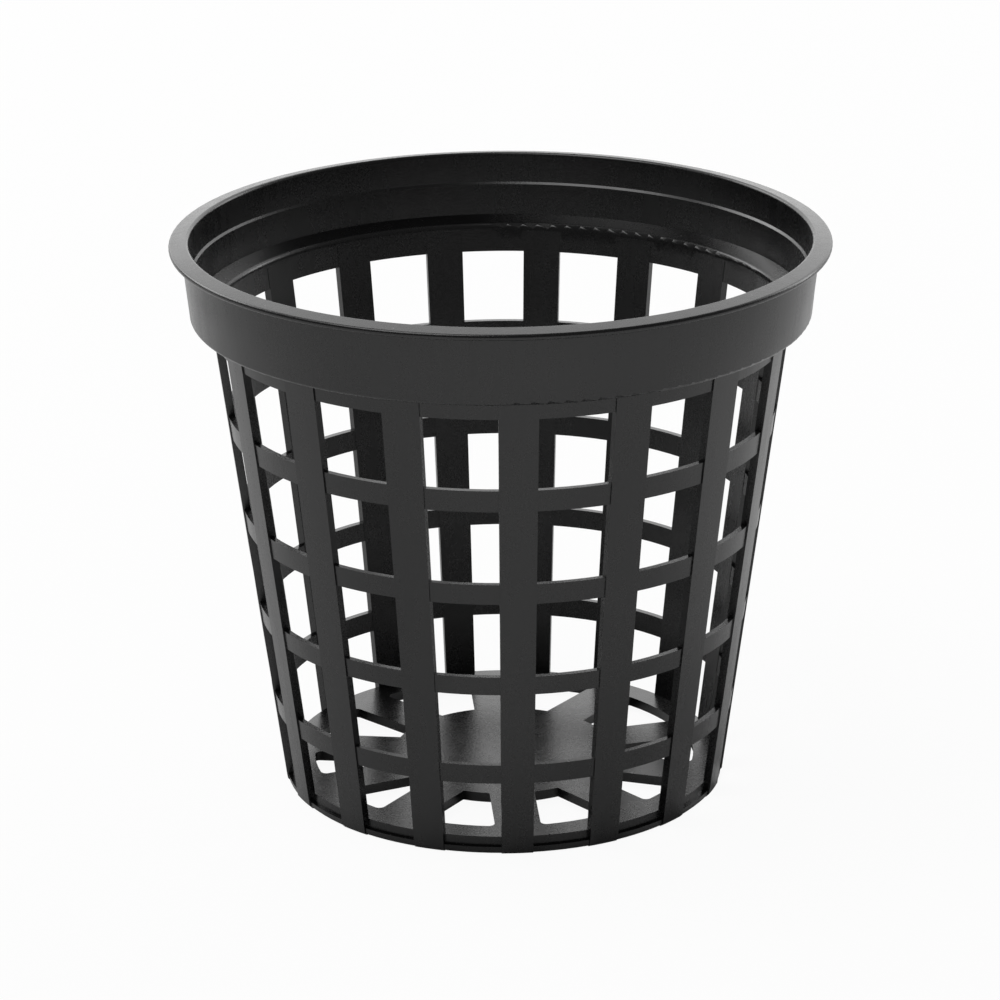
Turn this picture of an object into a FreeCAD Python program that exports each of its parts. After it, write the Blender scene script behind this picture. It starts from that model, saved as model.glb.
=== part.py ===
import FreeCAD, Part
import os
import Sketcher

# Round tapered net pot, moulded in one piece.  Millimetres, +Z up.
# Origin: on the pot's axis, in the plane of its foot.  The front is -Y, and
# angles round the axis are counted from the front towards +X.

# ------------------------------------------------------------------ sizes
# Driving sizes: (alias, value, meaning).  Lengths in mm, angles in degrees.
DRIVING = [
    ("rim_radius", 47.5, "outer radius of the lip"),
    ("pot_height", 82.6, "foot to the top of the lip"),
    ("lip_thickness", 0.9, "thickness of the lip at its outer edge"),
    ("lip_fall", 0.35, "drop of the lip's top face from inside to outside"),
    ("mouth_wall", 0.75, "wall of the collar at the mouth"),
    ("mouth_round", 0.5, "round between the lip's top and the mouth"),
    ("lip_overhang", 2.15, "lip standing out beyond the collar"),
    ("collar_land", 3.6, "straight band of the collar under the lip"),
    ("collar_taper", 0.6, "narrowing of the collar from its straight band to its foot"),
    ("collar_depth", 11.3, "lip's top down to the collar's foot"),
    ("collar_round", 0.6, "round at the collar's foot"),
    ("collar_wall", 1.2, "wall of the collar at its foot"),
    ("step_drop", 4.5, "lip's top down to the step inside the collar"),
    ("step_size", 0.3, "how far the step stands in"),
    ("ledge_rise", 1.9, "collar's foot up to the ledge inside it"),
    ("ledge_slope", 0.7, "fall of the ledge towards the axis"),
    ("ledge_round", 0.8, "round where the ledge turns down into the wall"),
    ("shoulder_drop", 0.5, "fall of the shoulder from the collar to the wall"),
    ("wall_foot_radius", 32.46, "outside of the bars at the foot"),
    ("shoulder_width", 3.05, "collar's foot in to the outside of the bars"),
    ("bar_thickness", 1.15, "bars, measured square to the axis"),
    ("bar_proud_outside", 0.2, "bars standing out beyond the hoops"),
    ("bar_proud_inside", 0.05, "bars standing in beyond the hoops"),
    ("bar_foot_width", 4.5, "width of a bar at the foot"),
    ("bar_head_width", 5.55, "width of a bar at the shoulder"),
    ("foot_bevel", 0.4, "bevel at the outside of the foot"),
    ("floor_underside", 1.0, "height of the floor's underside"),
    ("floor_thickness", 1.55, "thickness of the floor"),
    ("foot_band_height", 1.15, "band at the foot, below the lowest row"),
    ("row_a_share", 10.4, "height of the lowest row against the other rows"),
    ("row_b_share", 11.3, "height of the second row against the other rows"),
    ("row_c_share", 11.45, "height of the third row against the other rows"),
    ("row_d_share", 11.2, "height of the fourth row against the other rows"),
    ("row_e_share", 10.75, "height of the top row against the other rows"),
    ("hoop_ab_height", 2.95, "hoop between the first and second rows"),
    ("hoop_bc_height", 2.8, "hoop between the second and third rows"),
    ("hoop_cd_height", 3.05, "hoop between the third and fourth rows"),
    ("hoop_de_height", 3.2, "hoop between the fourth and top rows"),
    ("top_band_height", 2.55, "plain wall between the top row and the shoulder"),
    ("plate_radius", 16.4, "solid middle of the floor"),
    ("grille_radius", 28.2, "outer edge of the floor's openings"),
    ("spoke_width", 6.6, "spokes of the floor"),
    ("floor_draft", 0.15, "widening of the openings for each mm below the top"),
    ("grille_round", 0.9, "outer corners of the floor's openings"),
    ("front_bar_angle", 3.2, "middle bar of the front run"),
    ("front_bar_pitch", 22.75, "pitch of the seven bars of the front run"),
    ("rear_bar_angle", 181.6, "middle of the rear run"),
    ("rear_bar_pitch", 21.2, "pitch of the eight bars of the rear run"),
]
# Spokes of the floor, counted round from the front.
SPOKE_ANGLES = [3.9, 40.0, 72.5, 106.0, 144.5, 184.2, 226.5, 263.5, 295.0, 327.2]
FRONT_BARS = 7
REAR_BARS = 8
SIDE_BARS = 1
ROWS = ["a", "b", "c", "d", "e"]
CLEAR = 2.0

doc = FreeCAD.newDocument("net_pot")
sheet = doc.addObject("Spreadsheet::Sheet", "Sizes")
row_number = 0


def put(alias, content, note):
    """Write one named cell: a plain number, or a formula starting with =."""
    global row_number
    row_number += 1
    sheet.set("A%d" % row_number, alias)
    sheet.set("B%d" % row_number, str(content))
    sheet.set("C%d" % row_number, note)
    sheet.setAlias("B%d" % row_number, alias)


def size(alias):
    """Read a named cell as a number."""
    return float(sheet.get(alias))


for alias, value, note in DRIVING:
    put(alias, value, note)
for number, angle in enumerate(SPOKE_ANGLES, 1):
    put("spoke_angle_%02d" % number, angle, "spoke %d of the floor" % number)

# Derived radii, heights and slopes.
put("collar_head_radius", "=rim_radius - lip_overhang", "collar under the lip")
put("collar_foot_radius", "=collar_head_radius - collar_taper", "collar's foot")
put("mouth_radius", "=collar_head_radius - mouth_wall", "inside of the mouth")
put("wall_head_radius", "=collar_foot_radius - shoulder_width", "bars' head")
put("collar_foot_height", "=pot_height - collar_depth", "collar's foot")
put("shoulder_height", "=collar_foot_height - shoulder_drop", "head of the wall")
put(
    "wall_slope",
    "=(wall_head_radius - wall_foot_radius) / shoulder_height",
    "widening of the wall for each mm of height",
)
put(
    "wall_inside_height",
    "=collar_foot_height + ledge_rise - ledge_slope - ledge_round",
    "head of the wall's inner face",
)
put("floor_top", "=floor_underside + floor_thickness", "upper face of the floor")
# The five rows share what the two bands and the hoops leave of the wall.
pairs = list(zip(ROWS, ROWS[1:]))
solid_parts = ["hoop_%s%s_height" % pair for pair in pairs]
solid_parts += ["foot_band_height", "top_band_height"]
put("rows_height", "=shoulder_height - " + " - ".join(solid_parts), "all rows")
shares = " + ".join("row_%s_share" % row for row in ROWS)
for row in ROWS:
    formula = "=rows_height * row_%s_share / (%s)" % (row, shares)
    put("row_%s_height" % row, formula, "windows of one row")
put("row_a_sill", "=foot_band_height", "sill of the lowest row, below the floor")
put("row_a_head", "=row_a_sill + row_a_height", "head of the lowest row")
for below, row in pairs:
    hoop = "hoop_%s%s_height" % (below, row)
    put("row_%s_sill" % row, "=row_%s_head + %s" % (below, hoop), "sill")
    put("row_%s_head" % row, "=row_%s_sill + row_%s_height" % (row, row), "head")

# Corners of the turned section: (alias, radius, height).
hoop_out = "bar_proud_outside"
hoop_in = "(bar_thickness - bar_proud_inside)"
SECTION = [
    ("foot_under", "wall_foot_radius - %s - foot_bevel" % hoop_out, "0"),
    (
        "foot_side",
        "wall_foot_radius - %s + wall_slope * foot_bevel" % hoop_out,
        "foot_bevel",
    ),
    ("wall_head", "wall_head_radius - %s" % hoop_out, "shoulder_height"),
    (
        "collar_under",
        "collar_foot_radius - collar_round",
        "collar_foot_height",
    ),
    (
        "collar_side",
        "collar_foot_radius",
        "collar_foot_height + collar_round",
    ),
    (
        "collar_land",
        "collar_head_radius",
        "pot_height - lip_fall - lip_thickness - collar_land",
    ),
    (
        "lip_root",
        "collar_head_radius",
        "pot_height - lip_fall - lip_thickness",
    ),
    (
        "lip_under",
        "rim_radius - lip_thickness / 2",
        "pot_height - lip_fall - lip_thickness",
    ),
    ("lip_over", "rim_radius - lip_thickness / 2", "pot_height - lip_fall"),
    ("mouth_top", "mouth_radius + mouth_round", "pot_height"),
    ("mouth_side", "mouth_radius", "pot_height - mouth_round"),
    (
        "step_over",
        "mouth_radius - step_size",
        "pot_height - step_drop",
    ),
    (
        "step_under",
        "mouth_radius - 2 * step_size",
        "pot_height - step_drop - step_size",
    ),
    (
        "ledge_out",
        "collar_foot_radius - collar_wall",
        "collar_foot_height + ledge_rise",
    ),
    (
        "ledge_in",
        "wall_foot_radius + wall_slope * wall_inside_height - %s + ledge_round" % hoop_in,
        "collar_foot_height + ledge_rise - ledge_slope",
    ),
    (
        "wall_inside_head",
        "wall_foot_radius + wall_slope * wall_inside_height - %s" % hoop_in,
        "wall_inside_height",
    ),
    ("foot_inside", "wall_foot_radius - %s" % hoop_in, "0"),
]
# Arcs of the section, each from the named corner to the next: the radius.
ROUNDS = {
    "collar_under": "collar_round * 1.05",
    "lip_under": "lip_thickness / 2 * 1.001",
    "mouth_top": "mouth_round * 1.05",
    "ledge_in": "ledge_round * 1.05",
}
for name, radius, height in SECTION:
    put("at_%s_radius" % name, "=" + radius, "section")
    put("at_%s_height" % name, "=" + height, "section")
doc.recompute()


# ------------------------------------------------------------- turned shell
def turned_body(name, sketch_name):
    """Revolve the closed section about the axis, in a body of its own."""
    body = doc.addObject("PartDesign::Body", name)
    planes = [p for p in body.Origin.OriginFeatures if p.Role == "XZ_Plane"]
    sketch = body.newObject("Sketcher::SketchObject", sketch_name)
    sketch.AttachmentSupport = [(planes[0], "")]
    sketch.MapMode = "FlatFace"
    corners = []
    for corner, _, _ in SECTION:
        r = size("at_%s_radius" % corner)
        z = size("at_%s_height" % corner)
        corners.append(FreeCAD.Vector(r, z, 0))
    pieces = []
    for index, (corner, _, _) in enumerate(SECTION):
        start = corners[index]
        end = corners[(index + 1) % len(corners)]
        if corner in ROUNDS:
            put("%s_arc" % corner, "=" + ROUNDS[corner], "round")
            doc.recompute()
            radius = size("%s_arc" % corner)
            chord = end - start
            out = FreeCAD.Vector(chord.y, -chord.x, 0).normalize()
            sag = radius - (radius ** 2 - (chord.Length / 2) ** 2) ** 0.5
            middle = (start + end) * 0.5 + out * sag
            pieces.append(Part.Arc(start, middle, end))
        else:
            pieces.append(Part.LineSegment(start, end))
    sketch.addGeometry(pieces, False)
    # An arc drawn anticlockwise begins at the section's own start point.
    for index, (corner, radius, height) in enumerate(SECTION):
        following = (index + 1) % len(SECTION)
        sketch.addConstraint(
            Sketcher.Constraint("Coincident", index, 2, following, 1)
        )
        for kind, part in (("DistanceX", "radius"), ("DistanceY", "height")):
            cell = "at_%s_%s" % (corner, part)
            if size(cell) == 0.0:
                on_foot_plane = Sketcher.Constraint("PointOnObject", index, 1, -1)
                sketch.addConstraint(on_foot_plane)
                continue
            rule = Sketcher.Constraint(kind, -1, 1, index, 1, size(cell))
            number = sketch.addConstraint(rule)
            sketch.renameConstraint(number, cell)
            sketch.setExpression("Constraints." + cell, "Sizes." + cell)
        if corner in ROUNDS:
            cell = "%s_arc" % corner
            rule = Sketcher.Constraint("Radius", index, size(cell))
            number = sketch.addConstraint(rule)
            sketch.renameConstraint(number, cell)
            sketch.setExpression("Constraints." + cell, "Sizes." + cell)
    turn = body.newObject("PartDesign::Revolution", name + "_turn")
    turn.Profile = sketch
    turn.ReferenceAxis = (sketch, ["V_Axis"])
    turn.Angle = 360.0
    body.Tip = turn
    doc.recompute()
    return body


shell = turned_body("shell", "shell_section")


# ------------------------------------------------------------ small helpers
def cylinder(name, radius, base, height):
    """Part::Cylinder on the axis with its sizes tied to expressions."""
    item = doc.addObject("Part::Cylinder", name)
    item.setExpression("Radius", radius)
    item.setExpression("Height", height)
    item.setExpression("Placement.Base.z", base)
    return item


def cone(name, foot, head, height):
    """Part::Cone standing on the foot plane."""
    item = doc.addObject("Part::Cone", name)
    item.setExpression("Radius1", foot)
    item.setExpression("Radius2", head)
    item.setExpression("Height", height)
    return item


def cut(name, base, tool):
    """Part::Cut of two objects."""
    item = doc.addObject("Part::Cut", name)
    item.Base = base
    item.Tool = tool
    return item


def turn_to(item, angle, roll):
    """Tie an object's placement to an angle round the axis."""
    item.setExpression(
        "Placement",
        "placement(vector(0; 0; 0); rotation(%s; 0; %s))" % (angle, roll),
    )


# ------------------------------------------- slots that leave only the hoops
slots = []
for row in ROWS:
    outer = cylinder(
        "slot_%s_outer" % row,
        "Sizes.wall_head_radius + %s" % CLEAR,
        "Sizes.row_%s_sill" % row,
        "Sizes.row_%s_height" % row,
    )
    inner = cylinder(
        "slot_%s_inner" % row,
        "Sizes.wall_foot_radius + Sizes.wall_slope * Sizes.row_%s_sill"
        " - Sizes.bar_thickness - %s" % (row, CLEAR),
        "Sizes.row_%s_sill - 1" % row,
        "Sizes.row_%s_height + 2" % row,
    )
    slots.append(cut("slot_%s" % row, outer, inner))
all_slots = doc.addObject("Part::Compound", "window_slots")
all_slots.Links = slots
hoops = cut("hoops", shell, all_slots)

# ------------------------------------------------------------- upright bars
bar_top = "(Sizes.shoulder_height + 0.6)"
blocks = []
bar_angles = []
for step in range(FRONT_BARS):
    offset = step - (FRONT_BARS - 1) / 2
    bar_angles.append("Sizes.front_bar_angle + Sizes.front_bar_pitch * %s" % offset)
for step in range(REAR_BARS):
    offset = step - (REAR_BARS - 1) / 2
    bar_angles.append("Sizes.rear_bar_angle + Sizes.rear_bar_pitch * %s" % offset)
# The side bars divide what is left evenly between the two runs.
front_last = "(Sizes.front_bar_angle + Sizes.front_bar_pitch * %s)" % ((FRONT_BARS - 1) / 2)
front_first = "(Sizes.front_bar_angle - Sizes.front_bar_pitch * %s)" % ((FRONT_BARS - 1) / 2)
rear_first = "(Sizes.rear_bar_angle - Sizes.rear_bar_pitch * %s)" % ((REAR_BARS - 1) / 2)
rear_last = "(Sizes.rear_bar_angle + Sizes.rear_bar_pitch * %s)" % ((REAR_BARS - 1) / 2)
for step in range(1, SIDE_BARS + 1):
    share = step / (SIDE_BARS + 1)
    bar_angles.append("%s + (%s - %s) * %s" % (front_last, rear_first, front_last, share))
    bar_angles.append("%s + (%s + 360 - %s) * %s" % (rear_last, front_first, rear_last, share))
for number, angle in enumerate(bar_angles, 1):
    put("bar_angle_%02d" % number, "=" + angle.replace("Sizes.", ""), "bar %d" % number)
    block = doc.addObject("Part::Wedge", "bar_block_%02d" % number)
    half_head = (
        "(Sizes.bar_foot_width + (Sizes.bar_head_width - Sizes.bar_foot_width)"
        " * %s / Sizes.shoulder_height) / 2" % bar_top
    )
    block.setExpression("Xmin", "-Sizes.bar_foot_width / 2")
    block.setExpression("Xmax", "Sizes.bar_foot_width / 2")
    block.setExpression("X2min", "-" + half_head)
    block.setExpression("X2max", half_head)
    block.setExpression("Ymin", "0")
    block.setExpression("Ymax", bar_top)
    for end in ("Zmin", "Z2min"):
        block.setExpression(end, "Sizes.grille_radius")
    for end in ("Zmax", "Z2max"):
        block.setExpression(end, "Sizes.wall_head_radius + %s" % CLEAR)
    turn_to(block, "Sizes.bar_angle_%02d" % number, "90")
    blocks.append(block)
bar_blocks = doc.addObject("Part::Compound", "bar_blocks")
bar_blocks.Links = blocks
head_radius = "Sizes.wall_foot_radius + Sizes.wall_slope * %s" % bar_top
bar_outside = cone("bar_outside", "Sizes.wall_foot_radius", head_radius, bar_top)
bar_inside = cone(
    "bar_inside",
    "Sizes.wall_foot_radius - Sizes.bar_thickness",
    head_radius + " - Sizes.bar_thickness",
    bar_top,
)
bar_bevel = cone(
    "bar_bevel",
    "Sizes.wall_foot_radius - Sizes.foot_bevel",
    "Sizes.wall_foot_radius - Sizes.foot_bevel + %s" % bar_top,
    bar_top,
)
bar_outline = doc.addObject("Part::Common", "bar_outline")
bar_outline.Base = bar_outside
bar_outline.Tool = bar_bevel
bar_sleeve = cut("bar_sleeve", bar_outline, bar_inside)
bars = doc.addObject("Part::Common", "bars")
bars.Base = bar_sleeve
bars.Tool = bar_blocks

# -------------------------------------------------------------------- floor
# The floor's edge ends half way through the wall, above the foot's band.
floor_disc = cylinder(
    "floor_disc",
    "Sizes.wall_foot_radius - Sizes.bar_thickness / 2",
    "Sizes.floor_underside",
    "Sizes.floor_thickness",
)

cut_top = "(Sizes.floor_top + 1)"
cut_depth = "(Sizes.floor_thickness + 2)"
drafted = {}
for name, edge, sign in (
    ("grille_outer", "Sizes.grille_radius", "+"),
    ("grille_inner", "Sizes.plate_radius", "-"),
):
    item = doc.addObject("Part::Cone", name)
    low = "%s %s Sizes.floor_draft * (Sizes.floor_thickness + 1)"
    high = "%s %s Sizes.floor_draft * -1"
    item.setExpression("Radius1", low % (edge, sign))
    item.setExpression("Radius2", high % (edge, sign))
    item.setExpression("Height", cut_depth)
    item.setExpression("Placement.Base.z", "Sizes.floor_underside - 1")
    drafted[name] = item
ring = cut("grille_ring", drafted["grille_outer"], drafted["grille_inner"])
spokes = []
narrow = "(Sizes.spoke_width / 2 - Sizes.floor_draft * (Sizes.floor_thickness + 1))"
wide = "(Sizes.spoke_width / 2 + Sizes.floor_draft)"
for number in range(1, len(SPOKE_ANGLES) + 1):
    spoke = doc.addObject("Part::Wedge", "spoke_block_%02d" % number)
    spoke.setExpression("Xmin", "-" + narrow)
    spoke.setExpression("Xmax", narrow)
    spoke.setExpression("X2min", "-" + wide)
    spoke.setExpression("X2max", wide)
    spoke.setExpression("Ymin", "Sizes.floor_underside - 1")
    spoke.setExpression("Ymax", cut_top)
    for end in ("Zmin", "Z2min"):
        spoke.setExpression(end, "Sizes.plate_radius - 3")
    for end in ("Zmax", "Z2max"):
        spoke.setExpression(end, "Sizes.grille_radius + 3")
    turn_to(spoke, "Sizes.spoke_angle_%02d" % number, "90")
    spokes.append(spoke)
spoke_blocks = doc.addObject("Part::Compound", "spoke_blocks")
spoke_blocks.Links = spokes
openings = cut("grille_openings", ring, spoke_blocks)
doc.recompute()

# Round the outer corners of the openings.
rounded = doc.addObject("Part::Fillet", "grille_rounded")
rounded.Base = openings
upright = []
for number, edge in enumerate(openings.Shape.Edges, 1):
    reach = max(point.Point.Length for point in edge.Vertexes)
    if edge.BoundBox.ZLength > size("floor_thickness") and reach > size("grille_radius"):
        upright.append((number, size("grille_round"), size("grille_round")))
rounded.Edges = upright

# ------------------------------------------------------------ the whole pot
lattice = doc.addObject("Part::MultiFuse", "lattice")
lattice.Shapes = [hoops, bars, floor_disc]
lattice.Refine = True
pot = cut("net_pot", lattice, rounded)
pot.Label = "net_pot"
doc.recompute()

# ------------------------------------------------------------------ writing
for item in doc.Objects:
    states = item.State
    if "Invalid" in states or "Error" in states:
        raise RuntimeError("%s did not build: %s" % (item.Name, states))
shape = pot.Shape
if shape.isNull() or not shape.isValid():
    raise RuntimeError("net_pot is not a valid shape")
if len(shape.Solids) != 1:
    raise RuntimeError("net_pot came out in %d solids" % len(shape.Solids))
os.makedirs("parts", exist_ok=True)
shape.Solids[0].exportStep("parts/net_pot.step")
box = shape.BoundBox
print("net_pot %.2f x %.2f x %.2f mm" % (box.XLength, box.YLength, box.ZLength))
print("volume %.0f mm3, faces %d" % (shape.Volume, len(shape.Faces)))
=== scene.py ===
"""Dresses the black net pot and sets it in a pale studio.

The pot is one injection moulding in black polypropylene.  Its skin is welded
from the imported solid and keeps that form.  The parting line, the draw marks,
the grain and the dust are in its material.  All lengths are in metres, in the
pot's own frame: the axis is +Z, the foot stands on z = 0, the front faces -Y.
"""

import logging
import math
from dataclasses import dataclass, field
from enum import Enum

import bmesh
import bpy
from mathutils import Matrix, Vector


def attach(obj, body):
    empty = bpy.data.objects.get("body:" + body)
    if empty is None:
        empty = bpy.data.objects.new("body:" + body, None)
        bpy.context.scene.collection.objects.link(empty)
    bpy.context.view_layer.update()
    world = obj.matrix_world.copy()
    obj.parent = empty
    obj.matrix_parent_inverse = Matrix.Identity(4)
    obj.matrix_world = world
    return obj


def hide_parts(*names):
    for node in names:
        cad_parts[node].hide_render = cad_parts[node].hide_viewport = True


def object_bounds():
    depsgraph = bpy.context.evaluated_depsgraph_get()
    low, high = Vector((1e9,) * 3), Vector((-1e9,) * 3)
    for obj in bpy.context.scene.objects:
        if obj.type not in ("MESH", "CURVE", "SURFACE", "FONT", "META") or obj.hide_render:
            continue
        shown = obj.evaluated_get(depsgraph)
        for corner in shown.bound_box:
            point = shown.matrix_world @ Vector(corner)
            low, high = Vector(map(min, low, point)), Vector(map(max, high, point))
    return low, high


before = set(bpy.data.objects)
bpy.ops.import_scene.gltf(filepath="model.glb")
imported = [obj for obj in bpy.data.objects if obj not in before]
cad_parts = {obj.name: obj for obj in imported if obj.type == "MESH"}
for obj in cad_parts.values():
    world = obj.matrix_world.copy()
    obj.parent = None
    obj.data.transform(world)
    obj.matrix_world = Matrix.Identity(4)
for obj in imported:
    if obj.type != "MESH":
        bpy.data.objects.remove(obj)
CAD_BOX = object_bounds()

LOG = logging.getLogger("net_pot")
MM = 0.001
BODY = "root"
POT_NODE = "net_pot"


# ------------------------------------------------------------------ helpers
def linear(hex_colour: str) -> tuple[float, float, float, float]:
    """Turn an sRGB hex colour into linear RGBA.

    Args:
        hex_colour: Six hex digits after a hash sign.

    Returns:
        Red, green and blue as linear values, then full opacity.
    """
    digits = hex_colour.lstrip("#")
    channels = []
    for start in (0, 2, 4):
        value = int(digits[start:start + 2], 16) / 255.0
        if value <= 0.04045:
            channels.append(value / 12.92)
        else:
            channels.append(((value + 0.055) / 1.055) ** 2.4)
    return channels[0], channels[1], channels[2], 1.0


def add_node(
    tree: bpy.types.NodeTree,
    kind: str,
    inputs: dict[str | int, object] | None = None,
    **settings: object,
) -> bpy.types.Node:
    """Add one node, set its properties and fill or link its inputs.

    Args:
        tree: The node tree that the node joins.
        kind: The node's Blender type name.
        inputs: Input name or number to a value, or to an output to link from.
        **settings: Properties of the node itself, such as operation.

    Returns:
        The new node.
    """
    node = tree.nodes.new(kind)
    for name, value in settings.items():
        setattr(node, name, value)
    for key, value in (inputs or {}).items():
        socket = node.inputs[key]
        if isinstance(value, bpy.types.NodeSocket):
            tree.links.new(value, socket)
        else:
            socket.default_value = value
    return node


def fresh_material(name: str) -> tuple[bpy.types.Material, bpy.types.NodeTree]:
    """Make a material with an empty node tree.

    Args:
        name: The material's name.

    Returns:
        The material and its tree.
    """
    material = bpy.data.materials.new(name)
    material.use_nodes = True
    material.node_tree.nodes.clear()
    return material, material.node_tree


def cell_scale(size_mm: float) -> float:
    """Texture scale, per metre, at which one cell is about size_mm wide."""
    return 1.0 / (size_mm * MM)


# ----------------------------------------------------------------- finishes
@dataclass(frozen=True)
class MouldedPolypropylene:
    """Black polypropylene, injection moulded against a satin steel mould.

    The eye sees a near-black, even skin with a soft sheen: broad reflections
    that are sharper where the plastic flowed over polished steel, faint draw
    marks up the wall, a fine grain, and a little pale dust.  The grain is
    drawn coarser than the real skin's, so that it shows.
    """

    name: str = "polypropylene_black_moulded"
    body_hex: str = "#080808"
    cloud_hex: str = "#0d0d0e"
    dust_hex: str = "#6a6a69"
    seam_hex: str = "#050505"
    ior: float = 1.49
    specular: float = 0.5
    roughness: float = 0.27
    roughness_swing: float = 0.06
    grain_mm: float = 0.35
    grain_depth_mm: float = 0.012
    grain_octaves: float = 3.0
    draw_mark_mm: float = 1.6
    draw_mark_depth_mm: float = 0.010
    draw_mark_octaves: float = 2.0
    draw_mark_stretch: float = 0.06
    flow_mm: float = 16.0
    flow_octaves: float = 4.0
    octave_share: float = 0.55
    draw_mark_share: float = 0.45
    grain_share: float = 0.25
    noise_low: float = 0.3
    noise_high: float = 0.7
    dust_spacing_mm: float = 3.2
    speck_edge: float = 0.045
    speck_core: float = 0.02
    dust_free_tilt: float = 0.2
    dust_full_tilt: float = 0.9
    parting_angles: tuple[float, ...] = (-90.5, 92.0)
    parting_width_mm: float = 0.16
    parting_from_mm: float = 44.9

    def build(self) -> bpy.types.Material:
        """Make the node material.

        Returns:
            The finished material.
        """
        material, tree = fresh_material(self.name)
        place = add_node(tree, "ShaderNodeTexCoord").outputs["Object"]
        grain = self._noise(tree, place, self.grain_mm, self.grain_octaves)
        flow = self._noise(tree, place, self.flow_mm, self.flow_octaves)
        stretched = add_node(
            tree,
            "ShaderNodeMapping",
            {"Vector": place, "Scale": (1.0, 1.0, self.draw_mark_stretch)},
        )
        draw = self._noise(
            tree,
            stretched.outputs["Vector"],
            self.draw_mark_mm,
            self.draw_mark_octaves,
        )
        dust = self._dust(tree, place)
        seam = self._seam(tree, place)
        colour = self._colour(tree, flow, dust, seam)
        rough = self._roughness(tree, flow, draw, grain)
        normal = self._normal(tree, grain, draw)
        shader = add_node(
            tree,
            "ShaderNodeBsdfPrincipled",
            {
                "Base Color": colour,
                "Roughness": rough,
                "IOR": self.ior,
                "Specular IOR Level": self.specular,
                "Normal": normal,
            },
        )
        add_node(tree, "ShaderNodeOutputMaterial", {"Surface": shader.outputs["BSDF"]})
        return material

    def _noise(
        self,
        tree: bpy.types.NodeTree,
        vector: bpy.types.NodeSocket,
        size_mm: float,
        detail: float,
    ) -> bpy.types.NodeSocket:
        """Soft noise whose cells are size_mm wide.

        Args:
            tree: The material's tree.
            vector: Where the noise is read, in metres.
            size_mm: Width of a cell.
            detail: Octaves of finer noise.

        Returns:
            The noise as a factor from 0 to 1.
        """
        node = add_node(
            tree,
            "ShaderNodeTexNoise",
            {
                "Vector": vector,
                "Scale": cell_scale(size_mm),
                "Detail": detail,
                "Roughness": self.octave_share,
            },
        )
        return node.outputs["Fac"]

    def _dust(
        self, tree: bpy.types.NodeTree, place: bpy.types.NodeSocket
    ) -> bpy.types.NodeSocket:
        """Sparse specks of pale dust that settle on faces that look up.

        Args:
            tree: The material's tree.
            place: Object position, in metres.

        Returns:
            1 on a speck, 0 elsewhere.
        """
        cells = add_node(
            tree,
            "ShaderNodeTexVoronoi",
            {"Vector": place, "Scale": cell_scale(self.dust_spacing_mm)},
        )
        speck = add_node(
            tree,
            "ShaderNodeMapRange",
            {
                "Value": cells.outputs["Distance"],
                "From Min": self.speck_edge,
                "From Max": self.speck_core,
                "To Min": 0.0,
                "To Max": 1.0,
            },
        )
        geometry = add_node(tree, "ShaderNodeNewGeometry")
        up = add_node(
            tree, "ShaderNodeSeparateXYZ", {"Vector": geometry.outputs["Normal"]}
        )
        lying = add_node(
            tree,
            "ShaderNodeMapRange",
            {
                "Value": up.outputs["Z"],
                "From Min": self.dust_free_tilt,
                "From Max": self.dust_full_tilt,
            },
        )
        product = add_node(
            tree,
            "ShaderNodeMath",
            {0: speck.outputs["Result"], 1: lying.outputs["Result"]},
            operation="MULTIPLY",
        )
        return product.outputs["Value"]

    def _seam(
        self, tree: bpy.types.NodeTree, place: bpy.types.NodeSocket
    ) -> bpy.types.NodeSocket:
        """Hairline where the two halves of the mould met, on lip and collar.

        Args:
            tree: The material's tree.
            place: Object position, in metres.

        Returns:
            1 on the line, 0 elsewhere.
        """
        total: bpy.types.NodeSocket | None = None
        for angle in self.parting_angles:
            turn = math.radians(angle)
            across = add_node(
                tree,
                "ShaderNodeVectorMath",
                {0: place, 1: (math.cos(turn), math.sin(turn), 0.0)},
                operation="DOT_PRODUCT",
            )
            along = add_node(
                tree,
                "ShaderNodeVectorMath",
                {0: place, 1: (math.sin(turn), -math.cos(turn), 0.0)},
                operation="DOT_PRODUCT",
            )
            near = add_node(
                tree,
                "ShaderNodeMath",
                {
                    0: across.outputs["Value"],
                    1: 0.0,
                    2: self.parting_width_mm * MM / 2,
                },
                operation="COMPARE",
            )
            outside = add_node(
                tree,
                "ShaderNodeMath",
                {0: along.outputs["Value"], 1: self.parting_from_mm * MM},
                operation="GREATER_THAN",
            )
            both = add_node(
                tree,
                "ShaderNodeMath",
                {0: near.outputs["Value"], 1: outside.outputs["Value"]},
                operation="MULTIPLY",
            )
            if total is None:
                total = both.outputs["Value"]
            else:
                joined = add_node(
                    tree,
                    "ShaderNodeMath",
                    {0: total, 1: both.outputs["Value"]},
                    operation="MAXIMUM",
                )
                total = joined.outputs["Value"]
        return total

    def _colour(
        self,
        tree: bpy.types.NodeTree,
        flow: bpy.types.NodeSocket,
        dust: bpy.types.NodeSocket,
        seam: bpy.types.NodeSocket,
    ) -> bpy.types.NodeSocket:
        """Mix the plastic's two blacks, then the seam and the dust.

        Args:
            tree: The material's tree.
            flow: Slow noise that clouds the black.
            dust: Mask of the specks.
            seam: Mask of the hairline.

        Returns:
            The base colour.
        """
        black = add_node(
            tree,
            "ShaderNodeMix",
            {"Factor": flow, 6: linear(self.body_hex), 7: linear(self.cloud_hex)},
            data_type="RGBA",
        )
        lined = add_node(
            tree,
            "ShaderNodeMix",
            {"Factor": seam, 6: black.outputs[2], 7: linear(self.seam_hex)},
            data_type="RGBA",
        )
        dusted = add_node(
            tree,
            "ShaderNodeMix",
            {"Factor": dust, 6: lined.outputs[2], 7: linear(self.dust_hex)},
            data_type="RGBA",
        )
        return dusted.outputs[2]

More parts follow.
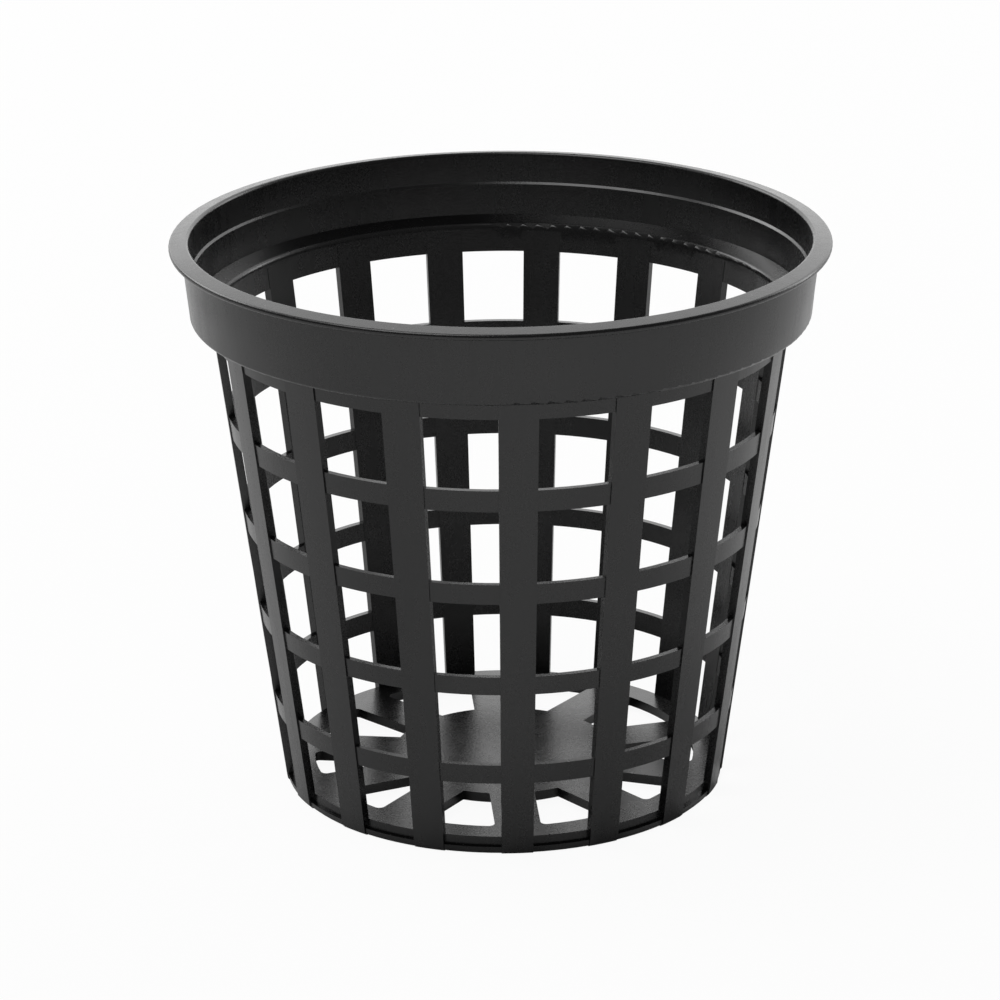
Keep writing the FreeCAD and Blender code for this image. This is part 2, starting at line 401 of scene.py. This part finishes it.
    def _roughness(
        self,
        tree: bpy.types.NodeTree,
        flow: bpy.types.NodeSocket,
        draw: bpy.types.NodeSocket,
        grain: bpy.types.NodeSocket,
    ) -> bpy.types.NodeSocket:
        """Vary the sheen with the flow of the plastic and the draw marks.

        Args:
            tree: The material's tree.
            flow: Slow noise.
            draw: Upright streaks.
            grain: Fine grain.

        Returns:
            The roughness.
        """
        streaks = add_node(
            tree,
            "ShaderNodeMix",
            {"Factor": self.draw_mark_share, 2: flow, 3: draw},
            data_type="FLOAT",
        )
        grained = add_node(
            tree,
            "ShaderNodeMix",
            {"Factor": self.grain_share, 2: streaks.outputs[0], 3: grain},
            data_type="FLOAT",
        )
        low = self.roughness - self.roughness_swing
        high = self.roughness + self.roughness_swing
        ranged = add_node(
            tree,
            "ShaderNodeMapRange",
            {
                "Value": grained.outputs[0],
                "From Min": self.noise_low,
                "From Max": self.noise_high,
                "To Min": low,
                "To Max": high,
            },
        )
        return ranged.outputs["Result"]

    def _normal(
        self,
        tree: bpy.types.NodeTree,
        grain: bpy.types.NodeSocket,
        draw: bpy.types.NodeSocket,
    ) -> bpy.types.NodeSocket:
        """Add the draw marks, then the grain.

        Args:
            tree: The material's tree.
            grain: Fine grain.
            draw: Upright streaks.

        Returns:
            The shading normal.
        """
        drawn = add_node(
            tree,
            "ShaderNodeBump",
            {
                "Height": draw,
                "Strength": 1.0,
                "Distance": self.draw_mark_depth_mm * MM,
            },
        )
        grained = add_node(
            tree,
            "ShaderNodeBump",
            {
                "Height": grain,
                "Strength": 1.0,
                "Distance": self.grain_depth_mm * MM,
                "Normal": drawn.outputs["Normal"],
            },
        )
        return grained.outputs["Normal"]


@dataclass(frozen=True)
class MattPaper:
    """Matt white background paper, smooth pressed pulp.

    The eye sees plain white with no sheen, and a faint shadow round the foot.
    """

    name: str = "paper_white_matt"
    paper_hex: str = "#fafafa"
    glow: float = 1.0
    glow_share: float = 0.94
    tooth: float = 0.6

    def build(self) -> bpy.types.Material:
        """Make the node material.

        Returns:
            The finished material.
        """
        material, tree = fresh_material(self.name)
        path = add_node(tree, "ShaderNodeLightPath")
        paper = add_node(
            tree,
            "ShaderNodeBsdfDiffuse",
            {"Color": linear(self.paper_hex), "Roughness": self.tooth},
        )
        light = add_node(
            tree,
            "ShaderNodeEmission",
            {"Color": linear("#ffffff"), "Strength": self.glow},
        )
        share = add_node(
            tree,
            "ShaderNodeMath",
            {0: path.outputs["Is Camera Ray"], 1: self.glow_share},
            operation="MULTIPLY",
        )
        mixed = add_node(
            tree,
            "ShaderNodeMixShader",
            {0: share.outputs["Value"], 1: paper.outputs[0], 2: light.outputs[0]},
        )
        add_node(tree, "ShaderNodeOutputMaterial", {"Surface": mixed.outputs[0]})
        return material


# ---------------------------------------------------------------------- pot
@dataclass
class MouldedBody:
    """The pot's own form with evenly shaded rounds, in its moulded finish."""

    node: str = POT_NODE
    finish: MouldedPolypropylene = field(default_factory=MouldedPolypropylene)
    weld_mm: float = 0.002
    crease_degrees: float = 30.0

    def build(self) -> bpy.types.Object:
        """Make the skin that stands for the solid.

        Returns:
            The dressed object.
        """
        skin = bpy.data.objects.new("pot_moulding", self._skin())
        bpy.context.scene.collection.objects.link(skin)
        weigh = skin.modifiers.new("shade_by_area", "WEIGHTED_NORMAL")
        weigh.keep_sharp = True
        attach(skin, BODY)
        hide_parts(self.node)
        LOG.info("%s dressed in %s", skin.name, self.finish.name)
        return skin

    def _skin(self) -> bpy.types.Mesh:
        """Weld the solid's skin and mark its edges.

        Returns:
            The mesh, with its material.
        """
        shape = bmesh.new()
        shape.from_mesh(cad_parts[self.node].data)
        bmesh.ops.remove_doubles(shape, verts=shape.verts, dist=self.weld_mm * MM)
        mesh = bpy.data.meshes.new("pot_moulding")
        shape.to_mesh(mesh)
        shape.free()
        old_normals = mesh.attributes.get("custom_normal")
        if old_normals is not None:
            mesh.attributes.remove(old_normals)
        mesh.materials.append(self.finish.build())
        mesh.shade_smooth()
        mesh.set_sharp_from_angle(angle=math.radians(self.crease_degrees))
        return mesh


# ------------------------------------------------------------------- studio
class Lamp(Enum):
    """The lamps of the studio, by the job that each does."""

    OVERHEAD = "overhead"
    BACK_WALL = "back_wall"
    LEFT_WALL = "left_wall"
    RIGHT_STRIP = "right_strip"


@dataclass(frozen=True)
class LampSetting:
    """Place, size and power of one area lamp."""

    lamp: Lamp
    position: tuple[float, float, float]
    width: float
    height: float
    power: float

    def build(self, target: Vector) -> bpy.types.Object:
        """Make the lamp and turn it to the target.

        Args:
            target: The point that it shines on.

        Returns:
            The lamp.
        """
        data = bpy.data.lights.new(self.lamp.value, "AREA")
        data.shape = "RECTANGLE"
        data.size = self.width
        data.size_y = self.height
        data.energy = self.power
        lamp = bpy.data.objects.new(self.lamp.value, data)
        lamp.location = self.position
        aim = target - Vector(self.position)
        lamp.rotation_euler = aim.to_track_quat("-Z", "Y").to_euler()
        lamp.visible_camera = False
        bpy.context.scene.collection.objects.link(lamp)
        return lamp


@dataclass
class Studio:
    """White paper sweep, soft lamps and the camera."""

    floor_radius: float = 6.0
    floor_sides: int = 96
    world_grey: str = "#707070"
    camera_distance: float = 0.5993
    camera_height: float = 0.2554
    camera_side: float = -0.00034
    camera_pitch: float = 19.59
    camera_roll: float = -0.42
    lens: float = 156.5
    sensor_width: float = 36.0
    nearest_seen: float = 0.01
    lamps: tuple[LampSetting, ...] = (
        LampSetting(Lamp.OVERHEAD, (-0.5, -0.15, 1.35), 0.8, 0.8, 8.0),
        LampSetting(Lamp.BACK_WALL, (0.0, 2.2, 1.15), 4.2, 2.4, 50.0),
        LampSetting(Lamp.LEFT_WALL, (-0.95, 0.7, 0.75), 0.7, 0.7, 6.0),
        LampSetting(Lamp.RIGHT_STRIP, (1.1, 0.75, 0.45), 0.4, 0.9, 5.0),
    )

    def build(self, box: tuple[Vector, Vector]) -> None:
        """Build the floor, the world, the lamps and the camera.

        Args:
            box: The pot's lowest and highest corners.
        """
        low, high = Vector(box[0]), Vector(box[1])
        self._floor(low.z)
        self._world()
        for setting in self.lamps:
            setting.build((low + high) / 2)
        self._camera()
        LOG.info("studio built with %d lamps", len(self.lamps))

    def _floor(self, height: float) -> bpy.types.Object:
        """Lay the paper.

        Args:
            height: Level of the foot of the pot.

        Returns:
            The floor.
        """
        mesh = bpy.data.meshes.new("studio_floor")
        shape = bmesh.new()
        bmesh.ops.create_circle(
            shape, cap_ends=True, segments=self.floor_sides, radius=self.floor_radius
        )
        shape.to_mesh(mesh)
        shape.free()
        floor = bpy.data.objects.new("studio_floor", mesh)
        floor.location.z = height
        mesh.materials.append(MattPaper().build())
        bpy.context.scene.collection.objects.link(floor)
        return floor

    def _world(self) -> None:
        """Light the scene from all round, as in a tent of white cloth."""
        world = bpy.data.worlds.new("tent")
        world.use_nodes = True
        tree = world.node_tree
        tree.nodes.clear()
        path = add_node(tree, "ShaderNodeLightPath")
        soft = add_node(
            tree,
            "ShaderNodeBackground",
            {"Color": linear(self.world_grey), "Strength": 1.0},
        )
        white = add_node(
            tree,
            "ShaderNodeBackground",
            {"Color": linear("#ffffff"), "Strength": 1.0},
        )
        mixed = add_node(
            tree,
            "ShaderNodeMixShader",
            {0: path.outputs["Is Camera Ray"], 1: soft.outputs[0], 2: white.outputs[0]},
        )
        add_node(tree, "ShaderNodeOutputWorld", {"Surface": mixed.outputs[0]})
        bpy.context.scene.world = world

    def _camera(self) -> bpy.types.Object:
        """Set the camera in front, looking down over the lip.

        Returns:
            The camera.
        """
        data = bpy.data.cameras.new("camera")
        data.lens = self.lens
        data.sensor_width = self.sensor_width
        data.clip_start = self.nearest_seen
        camera = bpy.data.objects.new("camera", data)
        place = Matrix.Translation(
            (self.camera_side, -self.camera_distance, self.camera_height)
        )
        tilt = Matrix.Rotation(math.radians(90.0 - self.camera_pitch), 4, "X")
        roll = Matrix.Rotation(math.radians(self.camera_roll), 4, "Z")
        camera.matrix_world = place @ tilt @ roll
        bpy.context.scene.collection.objects.link(camera)
        bpy.context.scene.camera = camera
        return camera


def main() -> None:
    """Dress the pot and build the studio."""
    logging.basicConfig(level=logging.INFO, format="%(name)s: %(message)s")
    bpy.context.scene.view_settings.view_transform = "Standard"
    MouldedBody().build()
    Studio().build(CAD_BOX)


if __name__ == "__main__":
    main()
